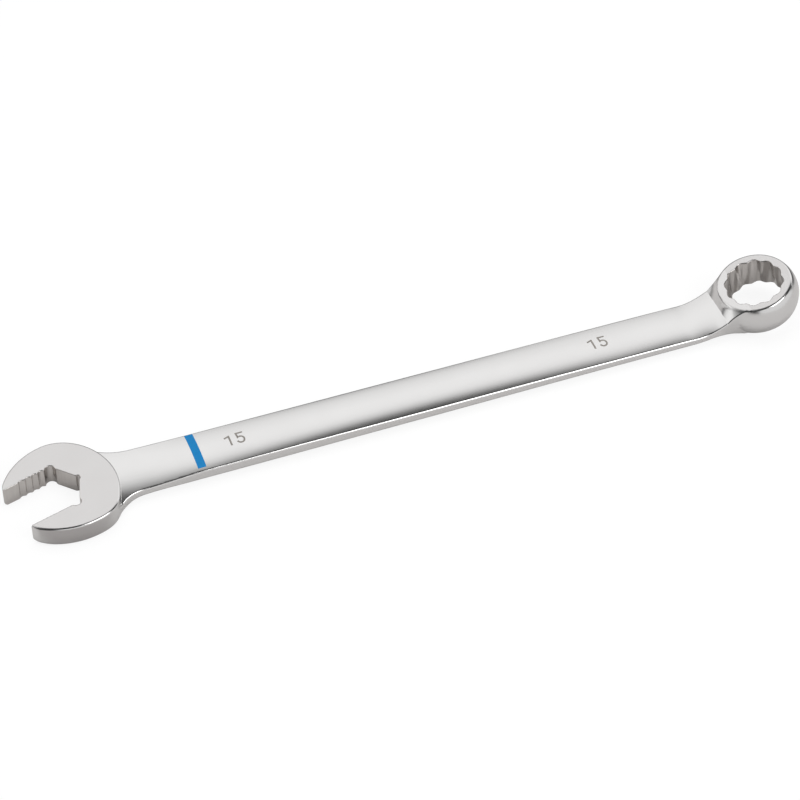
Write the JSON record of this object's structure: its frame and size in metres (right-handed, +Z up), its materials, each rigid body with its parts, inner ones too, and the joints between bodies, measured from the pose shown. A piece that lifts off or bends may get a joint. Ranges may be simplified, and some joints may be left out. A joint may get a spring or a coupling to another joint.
{
  "type": "combination wrench",
  "caption": "Flat forged combination wrench with an angled open end, a tilted 12-point box end, a crowned shank, size figures and a colour band.",
  "frame": {"origin": "middle of the bounding box's bottom, on the surface the wrench lies on", "axes": "+X along the shank from the open end to the box end, +Z up out of the marked face, +Y across the shank"},
  "size_m": [0.234, 0.0324, 0.0151],
  "materials": {
    "bright_chrome": "bright plated steel with a soft polish",
    "blue_enamel": "glossy blue enamel",
    "etched_grey": "matt etched grey-brown"
  },
  "bodies": {
    "root": {"wrench_forging": "bright_chrome", "colour_band": "blue_enamel", "size_figure_1_open_end": "etched_grey", "size_figure_5_open_end": "etched_grey", "size_figure_1_box_end": "etched_grey", "size_figure_5_box_end": "etched_grey"}
  },
  "joints": []
}
